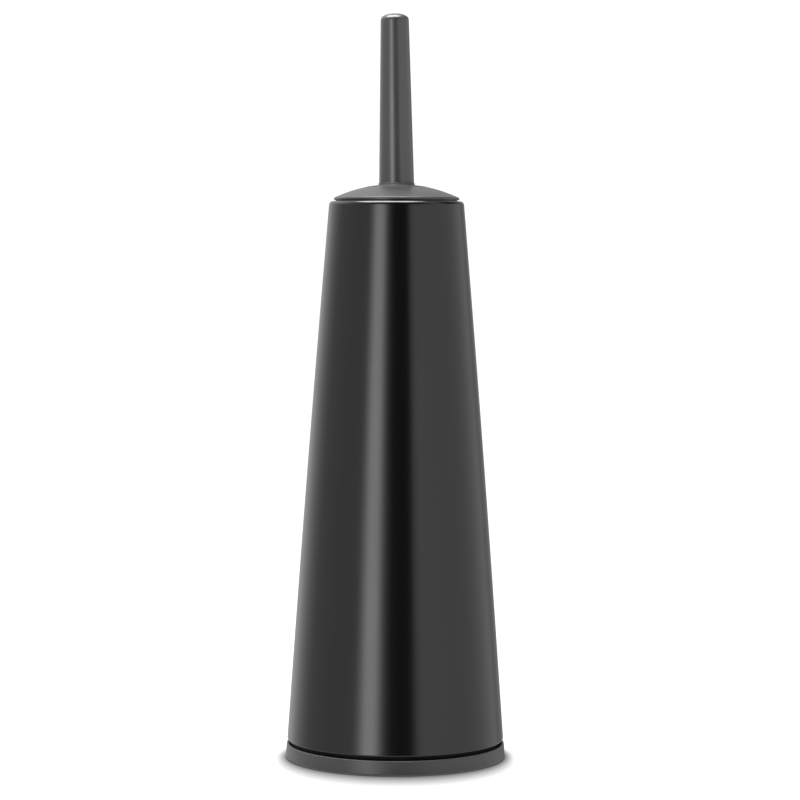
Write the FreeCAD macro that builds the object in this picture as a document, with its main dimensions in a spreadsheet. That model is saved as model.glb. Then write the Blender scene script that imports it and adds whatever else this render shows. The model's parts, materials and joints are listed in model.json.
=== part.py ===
"""Toilet brush holder: a conical coated steel sleeve on a plastic base, with an inner bucket and a
lidded brush. Millimetres, +Z up, origin on the floor at the centre of the base."""

import FreeCAD
import Part
import os
import re

import Sketcher

# Driving dimensions: (alias, value, meaning). Radii unless the name says otherwise.
DIMENSIONS = [
    ("base_overhang", 0.3, "base rim beyond the sleeve's foot"),
    ("base_flare", 0.7, "base wall at the floor, beyond its rim"),
    ("base_rim_height", 8.6, "rim above the floor"),
    ("base_wall", 1.6, "thickness of the rim wall"),
    ("base_floor", 2.4, "thickness of the base plate"),
    ("base_edge", 0.7, "rounding of the rim and of the lower edge"),
    ("ground_gap", 0.6, "base plate above the floor"),
    ("pad_inset", 8.0, "non-slip ring inside the base wall"),
    ("pad_width", 6.0, "non-slip ring, radial width"),
    ("pad_height", 1.8, "non-slip ring, height"),
    ("pad_edge", 0.4, "rounding of the non-slip ring"),
    ("rib_width", 1.2, "rib across the drip channel"),
    ("rib_count", 24, "ribs round the drip channel"),
    ("rib_height", 3.0, "ribs above the base plate"),
    ("rib_root", 0.3, "how far a rib runs into what it joins"),
    ("ledge_width", 3.4, "ledge that carries the sleeve"),
    ("locating_height", 5.0, "locating wall above the ledge"),
    ("locating_wall", 2.2, "thickness of the locating wall"),
    ("pocket_height", 6.0, "collar round the bucket's foot"),
    ("pocket_wall", 2.0, "thickness of that collar"),
    ("lift_clearance", 0.4, "gap round pieces that lift out"),
    ("cone_foot_radius", 62.2, "sleeve outside, at its foot"),
    ("cone_top_radius", 38.4, "sleeve outside, at its top"),
    ("cone_foot_height", 10.4, "lower edge of the sleeve above the floor"),
    ("cone_length", 308.9, "height of the sleeve"),
    ("cone_wall", 0.8, "sheet thickness"),
    ("shoulder_bend", 2.6, "outer bend at the top of the sleeve"),
    ("foot_bend", 1.2, "outer bend at the foot of the sleeve"),
    ("foot_flange", 4.6, "width of the turned-in lower edge"),
    ("mouth_inset", 5.2, "opening at the top, inside the sleeve's outside"),
    ("mouth_lip", 3.0, "turned-down lip of the opening"),
    ("edge_ring_height", 1.5, "edge ring under the sleeve"),
    ("edge_ring_wall", 1.4, "edge ring inside the sleeve's flange"),
    ("edge_ring_hook", 0.8, "hook of the edge ring over the flange"),
    ("edge_skirt_length", 2.0, "edge ring's skirt below the ledge"),
    ("edge_skirt_wall", 0.9, "thickness of that skirt"),
    ("bucket_clearance", 1.7, "bucket rim inside the sleeve"),
    ("bucket_draft", 3.3, "how much the bucket narrows to its foot"),
    ("bucket_height", 118.0, "height of the bucket"),
    ("bucket_wall", 1.8, "bucket wall"),
    ("bucket_rim", 1.6, "rim beyond the bucket wall"),
    ("bucket_foot_width", 5.0, "foot ring of the bucket"),
    ("bucket_foot_rise", 1.5, "hollow under the bucket"),
    ("lid_inset", 2.6, "lid edge inside the sleeve's outside"),
    ("lid_gap", 0.6, "lid edge above the sleeve"),
    ("lid_edge_height", 1.3, "upright edge of the lid"),
    ("lid_edge_round", 1.0, "rounding of that edge"),
    ("lid_dome_radius", 84.0, "sphere of the lid's dome"),
    ("lid_wall", 1.9, "thickness of the lid"),
    ("lid_overhang", 1.2, "lid edge beyond its seat"),
    ("skirt_length", 9.0, "skirt below the sleeve's top"),
    ("skirt_taper", 0.7, "how much the skirt narrows"),
    ("hub_margin", 4.5, "boss under the lid, beyond the spigot"),
    ("hub_height", 2.9, "boss below the lid wall"),
    ("spin_clearance", 0.3, "gap round the spigot in the lid"),
    ("running_clearance", 0.1, "gap between faces that turn on each other"),
    ("flange_radius", 17.0, "grip flange"),
    ("flange_edge_height", 2.2, "grip flange at its edge"),
    ("flange_rise", 0.9, "rise of the flange to the bead"),
    ("flange_gap", 0.25, "gap round the flange in the lid"),
    ("bead_overhang", 0.4, "bead beyond the foot of the grip"),
    ("bead_height", 1.1, "height of the bead"),
    ("bead_round", 0.5, "rounding of the bead"),
    ("spigot_wall", 2.5, "spigot beyond the rod"),
    ("spigot_length", 26.0, "spigot below the flange"),
    ("grip_foot_radius", 10.0, "grip at its foot"),
    ("grip_top_radius", 8.05, "grip at its top"),
    ("grip_length", 96.1, "grip above the bead"),
    ("grip_lean", 0.8, "lean of the grip, in degrees"),
    ("grip_crown", 1.5, "crown of the grip's top"),
    ("grip_trim", 0.5, "length trimmed off the leaning foot"),
    ("grip_top_round", 3.4, "rounding of the grip's top edge"),
    ("grip_socket_depth", 70.0, "rod inside the grip"),
    ("washer_thickness", 0.8, "slip washer under the lid"),
    ("washer_margin", 4.0, "slip washer beyond the spigot"),
    ("nut_height", 5.0, "retaining nut"),
    ("nut_margin", 3.5, "retaining nut beyond the spigot"),
    ("nut_notch", 3.0, "width of the nut's spanner notches"),
    ("nut_notch_depth", 1.6, "depth of those notches"),
    ("nut_notch_count", 6, "number of those notches"),
    ("fit_gap", 0.05, "gap of fitted pieces that stay together"),
    ("rod_radius", 5.0, "brush rod, outside"),
    ("rod_wall", 1.2, "brush rod, wall"),
    ("rod_foot_height", 104.0, "lower end of the rod above the floor"),
    ("pin_radius", 1.5, "cross pin"),
    ("pin_rise", 6.0, "pin above the spigot's lower end"),
    ("stud_plug_length", 15.0, "stud inside the rod"),
    ("stud_flange_height", 2.0, "shoulder of the stud"),
    ("stud_radius", 4.0, "threaded end of the stud"),
    ("stud_length", 10.8, "threaded end below the shoulder"),
    ("seal_thickness", 1.2, "seal washer"),
    ("seal_margin", 1.5, "seal washer beyond the rod"),
    ("thread_gap", 0.2, "gap round the threaded end"),
    ("head_radius", 13.0, "brush core"),
    ("head_neck_radius", 8.5, "brush core at its top"),
    ("head_neck_height", 9.0, "taper of the neck"),
    ("head_core_length", 76.0, "brush core"),
    ("head_end_radius", 6.0, "flat lower end of the brush core"),
    ("head_end_height", 8.0, "taper of the lower end"),
    ("head_edge", 1.5, "rounding of the core"),
    ("bristle_hub", 1.5, "bristle roots round the core"),
    ("bristle_clearance", 3.2, "side bristles inside the sleeve's opening"),
    ("bristle_row_pitch", 6.6, "spacing of the bristle rows"),
    ("bristle_row_height", 5.4, "height of one row at its tips"),
    ("bristle_root_height", 2.6, "height of one row at the core"),
    ("bristle_rows", 7, "rows of side bristles"),
    ("bristle_top_drop", 14.0, "top row below the top of the core"),
    ("tip_bristle_inset", 5.0, "tip bristles inside the side bristles"),
    ("tip_bristle_drop", 5.0, "tip bristles below the core"),
]

# Heights and radii that several pieces share, in terms of the driving dimensions.
SHARED = {
    "floor_top": "ground_gap + base_floor",
    "base_rim_radius": "cone_foot_radius + base_overhang",
    "base_foot_radius": "base_rim_radius + base_flare",
    "pad_outer_radius": "base_foot_radius - pad_inset",
    "pad_inner_radius": "pad_outer_radius - pad_width",
    "ledge_top": "cone_foot_height - edge_ring_height",
    "ledge_radius": "flange_inner + ledge_width - edge_ring_wall - lift_clearance",
    "flange_inner": "cone_foot_radius - foot_flange",
    "locating_radius": "flange_inner - edge_ring_wall - lift_clearance",
    "pocket_radius": "bucket_foot_radius + lift_clearance",
    "cone_top": "cone_foot_height + cone_length",
    "cone_slope": "((cone_foot_radius - cone_top_radius) / cone_length)",
    "mouth_radius": "cone_top_radius - mouth_inset",
    "bucket_top": "floor_top + bucket_height",
    "sleeve_inside": "cone_foot_radius - cone_wall - cone_slope * (bucket_top - cone_foot_height)",
    "bucket_top_radius": "sleeve_inside - bucket_clearance - bucket_rim",
    "bucket_foot_radius": "bucket_top_radius - bucket_draft",
    "lid_radius": "cone_top_radius - lid_inset",
    "lid_edge": "cone_top + lid_gap",
    "dome_foot": "lid_edge + lid_edge_height",
    "dome_centre": "dome_foot - sqrt(lid_dome_radius^2 - lid_radius^2)",
    "recess_radius": "flange_radius + flange_gap",
    "recess_top": "dome_centre + sqrt(lid_dome_radius^2 - recess_radius^2)",
    "recess_floor": "recess_top - flange_edge_height + running_clearance",
    "hub_radius": "spigot_radius + hub_margin",
    "hub_bottom": "recess_floor - lid_wall - hub_height",
    "seat_radius": "lid_radius - lid_overhang",
    "skirt_radius": "mouth_radius - lift_clearance",
    "flange_bottom": "recess_floor + running_clearance",
    "bead_radius": "grip_foot_radius + bead_overhang",
    "bead_bottom": "flange_bottom + flange_edge_height + flange_rise",
    "bead_top": "bead_bottom + bead_height",
    "spigot_radius": "rod_radius + spigot_wall",
    "spigot_bottom": "flange_bottom - spigot_length",
    "washer_radius": "spigot_radius + washer_margin",
    "washer_bottom": "hub_bottom - running_clearance - washer_thickness",
    "nut_radius": "spigot_radius + nut_margin",
    "rod_top": "bead_top + grip_socket_depth",
    "rod_bore": "rod_radius + fit_gap",
    "stud_shoulder": "rod_foot_height - stud_flange_height",
    "seal_radius": "rod_radius + seal_margin",
    "head_top": "stud_shoulder - seal_thickness",
    "head_bottom": "head_top - head_core_length",
    "head_side_bottom": "head_bottom + head_end_height",
    "bristle_radius": "mouth_radius - bristle_clearance",
    "tip_bristle_radius": "bristle_radius - tip_bristle_inset",
    "first_row": "head_top - bristle_top_drop",
}

doc = FreeCAD.newDocument("toilet_brush_holder")
sheet = doc.addObject("Spreadsheet::Sheet", "dims")
for row, (alias, value, meaning) in enumerate(DIMENSIONS, start=1):
    sheet.set(f"A{row}", alias)
    sheet.set(f"B{row}", str(value))
    sheet.set(f"C{row}", meaning)
    sheet.setAlias(f"B{row}", alias)
doc.recompute()

ALIASES = {alias for alias, _, _ in DIMENSIONS}
EDGE_MATCH = 0.02  # how near an edge lies to the radius and height that name it


def formula(words):
    """An expression on the sheet's cells, from one written with bare aliases and SHARED names."""

    def name(match):
        word = match.group()
        if word in SHARED:
            return f"({formula(SHARED[word])})"
        return f"dims.{word}" if word in ALIASES else word

    return re.sub(r"[A-Za-z_]\w*", name, words)


def size(words):
    """The value of such an expression, for first positions and for finding edges."""
    return float(sheet.evalExpression(formula(words)))


def origin_plane(body, role):
    return next(item for item in body.Origin.OriginFeatures if item.Role == role)


def new_body(name):
    body = doc.addObject("PartDesign::Body", name)
    body.Label = name
    return body


def new_sketch(body, name, role):
    sketch = body.newObject("Sketcher::SketchObject", name)
    sketch.AttachmentSupport = (origin_plane(body, role), [""])
    sketch.MapMode = "FlatFace"
    return sketch


def raise_sketch(sketch, words):
    """Lifts a sketch off its plane."""
    sketch.setExpression("AttachmentOffset.Base.z", formula(words))
    doc.recompute()


def constrain(sketch, kind, references, words):
    """Adds a dimension to the sketch and binds it to the sheet."""
    index = sketch.addConstraint(Sketcher.Constraint(kind, *references, size(words)))
    sketch.setExpression(f"Constraints[{index}]", formula(words))


def pin_point(sketch, geometry, end, across, up):
    """Ties one end of a line or arc to its two coordinates in the sketch."""
    if across == "0":
        sketch.addConstraint(Sketcher.Constraint("PointOnObject", geometry, end, -2))
    else:
        constrain(sketch, "DistanceX", (-1, 1, geometry, end), across)
    constrain(sketch, "DistanceY", (-1, 1, geometry, end), up)


def outline(sketch, corners, arcs=()):
    """A closed outline through corners, each (across, up). arcs maps a corner's number to the radius
    of the arc that leaves it, which bulges away from the middle of the outline."""
    arcs = dict(arcs)
    points = [FreeCAD.Vector(size(across), size(up), 0) for across, up in corners]
    middle = sum(points, FreeCAD.Vector()) * (1.0 / len(points))
    for number, start in enumerate(points):
        end = points[(number + 1) % len(points)]
        if number in arcs:
            centre_line = (start + end) * 0.5
            outward = (end - start).cross(FreeCAD.Vector(0, 0, 1)).normalize()
            if outward.dot(centre_line - middle) < 0:
                outward = -outward
            radius = size(arcs[number])
            half = (end - start).Length / 2
            rise = radius - (radius**2 - half**2) ** 0.5
            sketch.addGeometry(Part.Arc(start, centre_line + outward * rise, end))
        else:
            sketch.addGeometry(Part.LineSegment(start, end))
    tie_outline(sketch, corners, points, arcs)


def tie_outline(sketch, corners, points, arcs):
    """Closes the outline and ties every corner and every arc's radius to the sheet."""
    ends = []
    for number, start in enumerate(points):
        shape = sketch.Geometry[number]
        first = shape.StartPoint.distanceToPoint(start) < 1e-6
        ends.append((1, 2) if first else (2, 1))
    for number, (across, up) in enumerate(corners):
        before = number - 1 if number else len(corners) - 1
        sketch.addConstraint(
            Sketcher.Constraint("Coincident", before, ends[before][1], number, ends[number][0])
        )
        pin_point(sketch, number, ends[number][0], across, up)
    for number, radius in arcs.items():
        constrain(sketch, "Radius", (number,), radius)


def revolve(body, corners, arcs=(), name="profile"):
    """Turns an outline in the XZ plane about the Z axis."""
    sketch = new_sketch(body, f"{body.Name}_{name}", "XZ_Plane")
    outline(sketch, corners, arcs)
    feature = body.newObject("PartDesign::Revolution", f"{body.Name}_{name}_turn")
    feature.Profile = sketch
    feature.ReferenceAxis = (sketch, ["V_Axis"])
    feature.Angle = 360
    doc.recompute()
    return feature


def round_edges(body, edges, radius):
    """Rounds the body's circular edges at each (radius, height) of edges."""
    places = [(size(across), size(up)) for across, up in edges]
    base = body.Tip
    names = []
    for number, edge in enumerate(base.Shape.Edges, start=1):
        curve = edge.Curve
        if not isinstance(curve, Part.Circle):
            continue
        for across, up in places:
            if abs(curve.Radius - across) < EDGE_MATCH and abs(curve.Center.z - up) < EDGE_MATCH:
                names.append(f"Edge{number}")
    if len(names) < len(places):
        raise RuntimeError(f"{body.Name}: found {len(names)} of {len(places)} edges to round")
    fillet = body.newObject("PartDesign::Fillet", f"{body.Name}_round_{len(body.Group)}")
    fillet.Base = (base, names)
    fillet.setExpression("Radius", formula(radius))
    doc.recompute()


def box_outline(sketch, left, right, bottom, top):
    outline(sketch, [(left, bottom), (right, bottom), (right, top), (left, top)])


def pattern(body, feature, count):
    """Repeats a feature round the Z axis."""
    polar = body.newObject("PartDesign::PolarPattern", f"{feature.Name}_pattern")
    polar.Originals = [feature]
    polar.Axis = (origin_plane(body, "Z_Axis"), [""])
    polar.Angle = 360
    polar.setExpression("Occurrences", formula(count))
    body.Tip = polar
    doc.recompute()


def take_away(body, kind, sketch, name):
    """A feature of its own that is to take material away: check_taken tells whether it did."""
    feature = body.newObject(f"PartDesign::{kind}", f"{body.Name}_{name}")
    feature.Profile = sketch
    return feature


def check_taken(feature, before):
    doc.recompute()
    if not feature.Shape.Volume < before:
        raise RuntimeError(f"{feature.Name} took nothing away")


def cut(body, sketch, length, name, both_ways):
    """A pocket to both sides of its sketch's plane, or upwards from it."""
    before = body.Tip.Shape.Volume
    pocket = take_away(body, "Pocket", sketch, name)
    pocket.Midplane = both_ways
    pocket.Reversed = not both_ways
    pocket.setExpression("Length", formula(length))
    check_taken(pocket, before)
    return pocket


def turn_away(body, sketch, name):
    """A groove about the Z axis."""
    before = body.Tip.Shape.Volume
    groove = take_away(body, "Groove", sketch, name)
    groove.ReferenceAxis = (sketch, ["V_Axis"])
    groove.Angle = 360
    check_taken(groove, before)


def circle_sketch(body, name, role, across, up, radius):
    sketch = new_sketch(body, f"{body.Name}_{name}", role)
    centre = FreeCAD.Vector(size(across), size(up), 0)
    sketch.addGeometry(Part.Circle(centre, FreeCAD.Vector(0, 0, 1), size(radius)))
    pin_point(sketch, 0, 3, across, up)
    constrain(sketch, "Radius", (0,), radius)
    return sketch


def base_foot():
    """Plate with an outer rim, a drip channel, the sleeve's ledge and the bucket's collar."""
    body = new_body("base_foot")
    rim_inner = "base_rim_radius - base_wall"
    locating_top = "ledge_top + locating_height"
    locating_inner = "locating_radius - locating_wall"
    collar_top = "floor_top + pocket_height"
    revolve(body, [
        ("0", "ground_gap"),
        ("pad_inner_radius", "ground_gap"),
        ("pad_inner_radius", "pad_height"),
        ("pad_outer_radius", "pad_height"),
        ("pad_outer_radius", "ground_gap"),
        ("base_foot_radius", "ground_gap"),
        ("base_rim_radius", "base_rim_height"),
        (rim_inner, "base_rim_height"),
        (rim_inner, "floor_top"),
        ("ledge_radius", "floor_top"),
        ("ledge_radius", "ledge_top"),
        ("locating_radius", "ledge_top"),
        ("locating_radius", locating_top),
        (locating_inner, locating_top),
        (locating_inner, "floor_top"),
        ("pocket_radius + pocket_wall", "floor_top"),
        ("pocket_radius + pocket_wall", collar_top),
        ("pocket_radius", collar_top),
        ("pocket_radius", "floor_top"),
        ("0", "floor_top"),
    ])
    rounded = [
        ("base_foot_radius", "ground_gap"),
        ("base_rim_radius", "base_rim_height"),
        (rim_inner, "base_rim_height"),
        ("locating_radius", locating_top),
    ]
    round_edges(body, rounded, "base_edge")
    ribs = new_sketch(body, "base_foot_rib", "XY_Plane")
    raise_sketch(ribs, "floor_top - rib_root")
    left, right = "ledge_radius - rib_root", f"{rim_inner} + rib_root"
    box_outline(ribs, left, right, "-rib_width / 2", "rib_width / 2")
    pad = body.newObject("PartDesign::Pad", "base_foot_rib_pad")
    pad.Profile = ribs
    pad.setExpression("Length", formula("rib_height + rib_root"))
    doc.recompute()
    pattern(body, pad, "rib_count")


def non_slip_ring():
    """Soft ring in the groove under the base, which the holder stands on."""
    body = new_body("non_slip_ring")
    revolve(body, [
        ("pad_inner_radius", "0"),
        ("pad_outer_radius", "0"),
        ("pad_outer_radius", "pad_height"),
        ("pad_inner_radius", "pad_height"),
    ])
    round_edges(body, [("pad_inner_radius", "0"), ("pad_outer_radius", "0")], "pad_edge")


def bucket():
    """Inner bucket with a foot ring and a turned-out rim."""
    body = new_body("bucket")
    foot_inner = "bucket_foot_radius - bucket_foot_width"
    raised = "floor_top + bucket_foot_rise"
    under_rim = "bucket_top - bucket_wall"
    rim_outer = "bucket_top_radius + bucket_rim"
    inside_top = "bucket_top_radius - bucket_wall"
    inside_foot = "bucket_foot_radius - bucket_wall"
    inside_floor = f"{raised} + bucket_wall"
    revolve(body, [
        ("0", raised),
        (foot_inner, raised),
        (foot_inner, "floor_top"),
        ("bucket_foot_radius", "floor_top"),
        ("bucket_top_radius", under_rim),
        (rim_outer, under_rim),
        (rim_outer, "bucket_top"),
        (inside_top, "bucket_top"),
        (inside_foot, inside_floor),
        ("0", inside_floor),
    ])
    rounded = [(rim_outer, "bucket_top"), (rim_outer, under_rim), (inside_top, "bucket_top")]
    round_edges(body, rounded, "bucket_wall / 3")
    round_edges(body, [(inside_foot, inside_floor)], "bucket_wall * 2")
    round_edges(body, [("bucket_foot_radius", "floor_top")], "bucket_wall / 2")


def outer_cone():
    """Sheet steel sleeve with both edges turned in and a lip round the mouth."""
    body = new_body("outer_cone")
    foot, top = "cone_foot_height", "cone_top"
    low_inside, high_inside = f"{foot} + cone_wall", f"{top} - cone_wall"
    foot_inside = "cone_foot_radius - cone_wall * (1 + cone_slope)"
    top_inside = "cone_top_radius - cone_wall * (1 - cone_slope)"
    lip_inside = "mouth_radius + cone_wall"
    lip_end = f"{top} - mouth_lip"
    revolve(body, [
        ("flange_inner", foot),
        ("cone_foot_radius", foot),
        ("cone_top_radius", top),
        ("mouth_radius", top),
        ("mouth_radius", lip_end),
        (lip_inside, lip_end),
        (lip_inside, high_inside),
        (top_inside, high_inside),
        (foot_inside, low_inside),
        ("flange_inner", low_inside),
    ])
    round_edges(body, [("cone_foot_radius", foot)], "foot_bend")
    round_edges(body, [(foot_inside, low_inside)], "foot_bend - cone_wall")
    round_edges(body, [("cone_top_radius", top)], "shoulder_bend")
    round_edges(body, [(top_inside, high_inside)], "shoulder_bend - cone_wall")
    round_edges(body, [("mouth_radius", top)], "cone_wall")


def cone_edge_ring():
    """Plastic ring clipped over the sleeve's turned-in foot, with a skirt down into the base."""
    body = new_body("cone_edge_ring")
    inner = "flange_inner - edge_ring_wall"
    hook_under = "cone_foot_height + cone_wall + fit_gap"
    hook_outer = "flange_inner + edge_ring_hook"
    groove = "flange_inner - fit_gap"
    hook_top = f"{hook_under} + edge_ring_wall"
    skirt_inner = "ledge_radius + lift_clearance"
    skirt_outer = f"{skirt_inner} + edge_skirt_wall"
    skirt_end = "ledge_top - edge_skirt_length"
    revolve(body, [
        (inner, "ledge_top"),
        (skirt_inner, "ledge_top"),
        (skirt_inner, skirt_end),
        (skirt_outer, skirt_end),
        (skirt_outer, "cone_foot_height"),
        (groove, "cone_foot_height"),
        (groove, hook_under),
        (hook_outer, hook_under),
        (groove, hook_top),
        (inner, hook_top),
    ])


def lid():
    """Domed lid with a seat on the sleeve, a skirt in its mouth and a boss for the spigot."""
    body = new_body("lid")
    bore = "spigot_radius + spin_clearance"
    skirt_end = "cone_top - skirt_length"
    skirt_inner = "skirt_radius - lid_wall - skirt_taper"
    dome_inside = "dome_centre + sqrt((lid_dome_radius - lid_wall)^2 - (skirt_radius - lid_wall)^2)"
    recess_under = "recess_floor - lid_wall"
    revolve(body, [
        (bore, "hub_bottom"),
        ("hub_radius", "hub_bottom"),
        ("hub_radius", recess_under),
        ("recess_radius + lid_wall", recess_under),
        ("skirt_radius - lid_wall", dome_inside),
        (skirt_inner, skirt_end),
        ("skirt_radius - skirt_taper", skirt_end),
        ("skirt_radius", "cone_top"),
        ("seat_radius", "cone_top"),
        ("seat_radius", "lid_edge"),
        ("lid_radius", "lid_edge"),
        ("lid_radius", "dome_foot"),
        ("recess_radius", "recess_top"),
        ("recess_radius", "recess_floor"),
        (bore, "recess_floor"),
    ], {11: "lid_dome_radius"})
    round_edges(body, [("lid_radius", "dome_foot")], "lid_edge_round")


def grip_flange():
    """Shallow round flange that sits in the lid, with the spigot that turns in the lid's bore."""
    body = new_body("grip_flange")
    revolve(body, [
        ("rod_bore", "spigot_bottom"),
        ("spigot_radius", "spigot_bottom"),
        ("spigot_radius", "flange_bottom"),
        ("flange_radius", "flange_bottom"),
        ("flange_radius", "flange_bottom + flange_edge_height"),
        ("bead_radius", "bead_bottom"),
        ("bead_radius", "bead_top"),
        ("rod_bore", "bead_top"),
    ])
    round_edges(body, [("bead_radius", "bead_top")], "bead_round")
    hole = circle_sketch(
        body, "pin_hole", "XZ_Plane", "0", "spigot_bottom + pin_rise", "pin_radius"
    )
    cut(body, hole, "spigot_radius * 2 + 2 * fit_gap", "pin_bore", both_ways=True)


def grip():
    """Tapered round grip that leans a little on its flat foot, with a socket for the rod."""
    body = new_body("grip")
    side_top = "grip_length - grip_crown"
    taper = revolve(body, [
        ("0", "-grip_trim"),
        ("grip_foot_radius", "-grip_trim"),
        ("grip_foot_radius", "0"),
        ("grip_top_radius", side_top),
        ("0", "grip_length"),
    ])
    sketch = taper.Profile[0]
    sketch.AttachmentOffset = FreeCAD.Placement(
        FreeCAD.Vector(), FreeCAD.Rotation(FreeCAD.Vector(0, 0, 1), size("grip_lean"))
    )
    sketch.setExpression("AttachmentOffset.Rotation.Angle", formula("grip_lean"))
    sketch.setExpression("AttachmentOffset.Base.y", formula("bead_top"))
    doc.recompute()
    round_edges(body, [("grip_top_radius", f"bead_top + {side_top}")], "grip_top_round")
    below = new_sketch(body, "grip_below", "XZ_Plane")
    box_outline(below, "0", "grip_foot_radius * 2", "bead_top - grip_trim * 3", "bead_top")
    turn_away(body, below, "foot_trim")
    socket = new_sketch(body, "grip_socket", "XZ_Plane")
    box_outline(socket, "0", "rod_bore", "bead_top - grip_trim", "rod_top + fit_gap")
    turn_away(body, socket, "socket")


def slip_washer():
    """Thin washer between the lid's boss and the retaining nut."""
    body = new_body("slip_washer")
    top = "washer_bottom + washer_thickness"
    inner = "spigot_radius + fit_gap"
    revolve(body, [
        (inner, "washer_bottom"),
        ("washer_radius", "washer_bottom"),
        ("washer_radius", top),
        (inner, top),
    ])


def retaining_nut():
    """Round nut with spanner notches that holds the lid on the spigot."""
    body = new_body("retaining_nut")
    inner = "spigot_radius + fit_gap"
    bottom = "washer_bottom - nut_height"
    revolve(body, [
        (inner, bottom),
        ("nut_radius", bottom),
        ("nut_radius", "washer_bottom"),
        (inner, "washer_bottom"),
    ])
    round_edges(body, [("nut_radius", bottom)], "nut_notch_depth / 2")
    notch = new_sketch(body, "retaining_nut_notch", "XY_Plane")
    raise_sketch(notch, bottom)
    box_outline(
        notch,
        "nut_radius - nut_notch_depth",
        "nut_radius + nut_notch_depth",
        "-nut_notch / 2",
        "nut_notch / 2",
    )
    notch_cut = cut(body, notch, "nut_height / 2", "notch_cut", both_ways=False)
    pattern(body, notch_cut, "nut_notch_count")


def brush_rod():
    """Steel tube from the grip down to the brush head."""
    body = new_body("brush_rod")
    revolve(body, [
        ("rod_radius - rod_wall", "rod_foot_height"),
        ("rod_radius", "rod_foot_height"),
        ("rod_radius", "rod_top"),
        ("rod_radius - rod_wall", "rod_top"),
    ])
    hole = circle_sketch(body, "pin_hole", "XZ_Plane", "0", "spigot_bottom + pin_rise", "pin_radius")
    cut(body, hole, "rod_radius * 2 + 2 * fit_gap", "pin_bore", both_ways=True)


def rod_pin():
    """Cross pin through the spigot and the rod."""
    body = new_body("rod_pin")
    section = circle_sketch(
        body, "section", "XZ_Plane", "0", "spigot_bottom + pin_rise", "pin_radius - fit_gap"
    )
    doc.recompute()
    pad = body.newObject("PartDesign::Pad", "rod_pin_length")
    pad.Profile = section
    pad.Midplane = True
    pad.setExpression("Length", formula("spigot_radius * 2 - 2 * fit_gap"))
    doc.recompute()


def rod_stud():
    """Threaded end piece pressed into the rod."""
    body = new_body("rod_stud")
    plug = "rod_radius - rod_wall - fit_gap"
    stud_end = "stud_shoulder - stud_length"
    revolve(body, [
        ("0", stud_end),
        ("stud_radius", stud_end),
        ("stud_radius", "stud_shoulder"),
        ("rod_radius", "stud_shoulder"),
        ("rod_radius", "rod_foot_height"),
        (plug, "rod_foot_height"),
        (plug, "rod_foot_height + stud_plug_length"),
        ("0", "rod_foot_height + stud_plug_length"),
    ])
    round_edges(body, [("stud_radius", stud_end)], "stud_radius / 5")


def seal_washer():
    """Soft washer between the rod's shoulder and the brush head."""
    body = new_body("seal_washer")
    inner = "stud_radius + thread_gap"
    revolve(body, [
        (inner, "head_top"),
        ("seal_radius", "head_top"),
        ("seal_radius", "stud_shoulder"),
        (inner, "stud_shoulder"),
    ])


def head_core():
    """Core of the brush head, with the threaded socket in its neck."""
    body = new_body("head_core")
    bore = "stud_radius + thread_gap"
    bore_end = "head_top - stud_length - stud_radius"
    revolve(body, [
        ("0", "head_bottom"),
        ("head_end_radius", "head_bottom"),
        ("head_radius", "head_side_bottom"),
        ("head_radius", "head_top - head_neck_height"),
        ("head_neck_radius", "head_top"),
        (bore, "head_top"),
        (bore, bore_end),
        ("0", bore_end),
    ])
    rounded = [
        ("head_radius", "head_side_bottom"),
        ("head_radius", "head_top - head_neck_height"),
        ("head_neck_radius", "head_top"),
    ]
    round_edges(body, rounded, "head_edge")


def side_bristles():
    """Rows of bristles round the core: each row is a ring that is deepest at its tips."""
    body = new_body("side_bristles")
    root = "head_radius + fit_gap"
    hub = "head_radius + bristle_hub"
    rows = int(size("bristle_rows"))
    tips = []
    for number in range(rows):
        middle = f"first_row - {number} * bristle_row_pitch"
        tips += [
            (hub, f"{middle} + bristle_root_height / 2"),
            ("bristle_radius", f"{middle} + bristle_row_height / 2"),
            ("bristle_radius", f"{middle} - bristle_row_height / 2"),
            (hub, f"{middle} - bristle_root_height / 2"),
        ]
    last = f"first_row - {rows - 1} * bristle_row_pitch - bristle_root_height / 2"
    first = "first_row + bristle_root_height / 2"
    revolve(body, [(root, last), (root, first)] + tips)


def tip_bristles():
    """Bristles under the core, as one closed cup."""
    body = new_body("tip_bristles")
    revolve(body, [
        ("0", "head_bottom - tip_bristle_drop"),
        ("head_radius", "head_bottom - tip_bristle_drop"),
        ("tip_bristle_radius", "head_bottom + head_end_height / 4"),
        ("tip_bristle_radius - tip_bristle_drop / 2", "head_side_bottom"),
        ("head_radius + fit_gap", "head_side_bottom - fit_gap"),
        ("head_end_radius + fit_gap", "head_bottom - fit_gap"),
        ("0", "head_bottom - fit_gap"),
    ])


def bodies():
    return [item for item in doc.Objects if item.TypeId == "PartDesign::Body"]


def check_document():
    """Stops if any object failed, or any sub-part isn't one valid closed solid."""
    doc.recompute()
    for item in doc.Objects:
        if "Invalid" in item.State or "Error" in item.State:
            raise RuntimeError(f"{item.Name} failed: {item.State}")
    for body in bodies():
        shape = body.Shape
        if shape.isNull() or not shape.isValid() or not shape.Solids:
            raise RuntimeError(f"{body.Label} is not a valid solid")


def write_parts():
    os.makedirs("parts", exist_ok=True)
    for body in bodies():
        body.Shape.exportStep(f"parts/{body.Label}.step")
        print(f"{body.Label:16s} {body.Shape.Volume / 1000:9.3f} cm3, {len(body.Shape.Solids)} solid")


for make in (
    base_foot,
    non_slip_ring,
    bucket,
    outer_cone,
    cone_edge_ring,
    lid,
    grip_flange,
    grip,
    slip_washer,
    retaining_nut,
    brush_rod,
    rod_pin,
    rod_stud,
    seal_washer,
    head_core,
    side_bristles,
    tip_bristles,
):
    make()

check_document()
write_parts()
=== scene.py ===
import json
import math
import random

import bmesh
import bpy
from mathutils import Matrix, Vector


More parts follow.
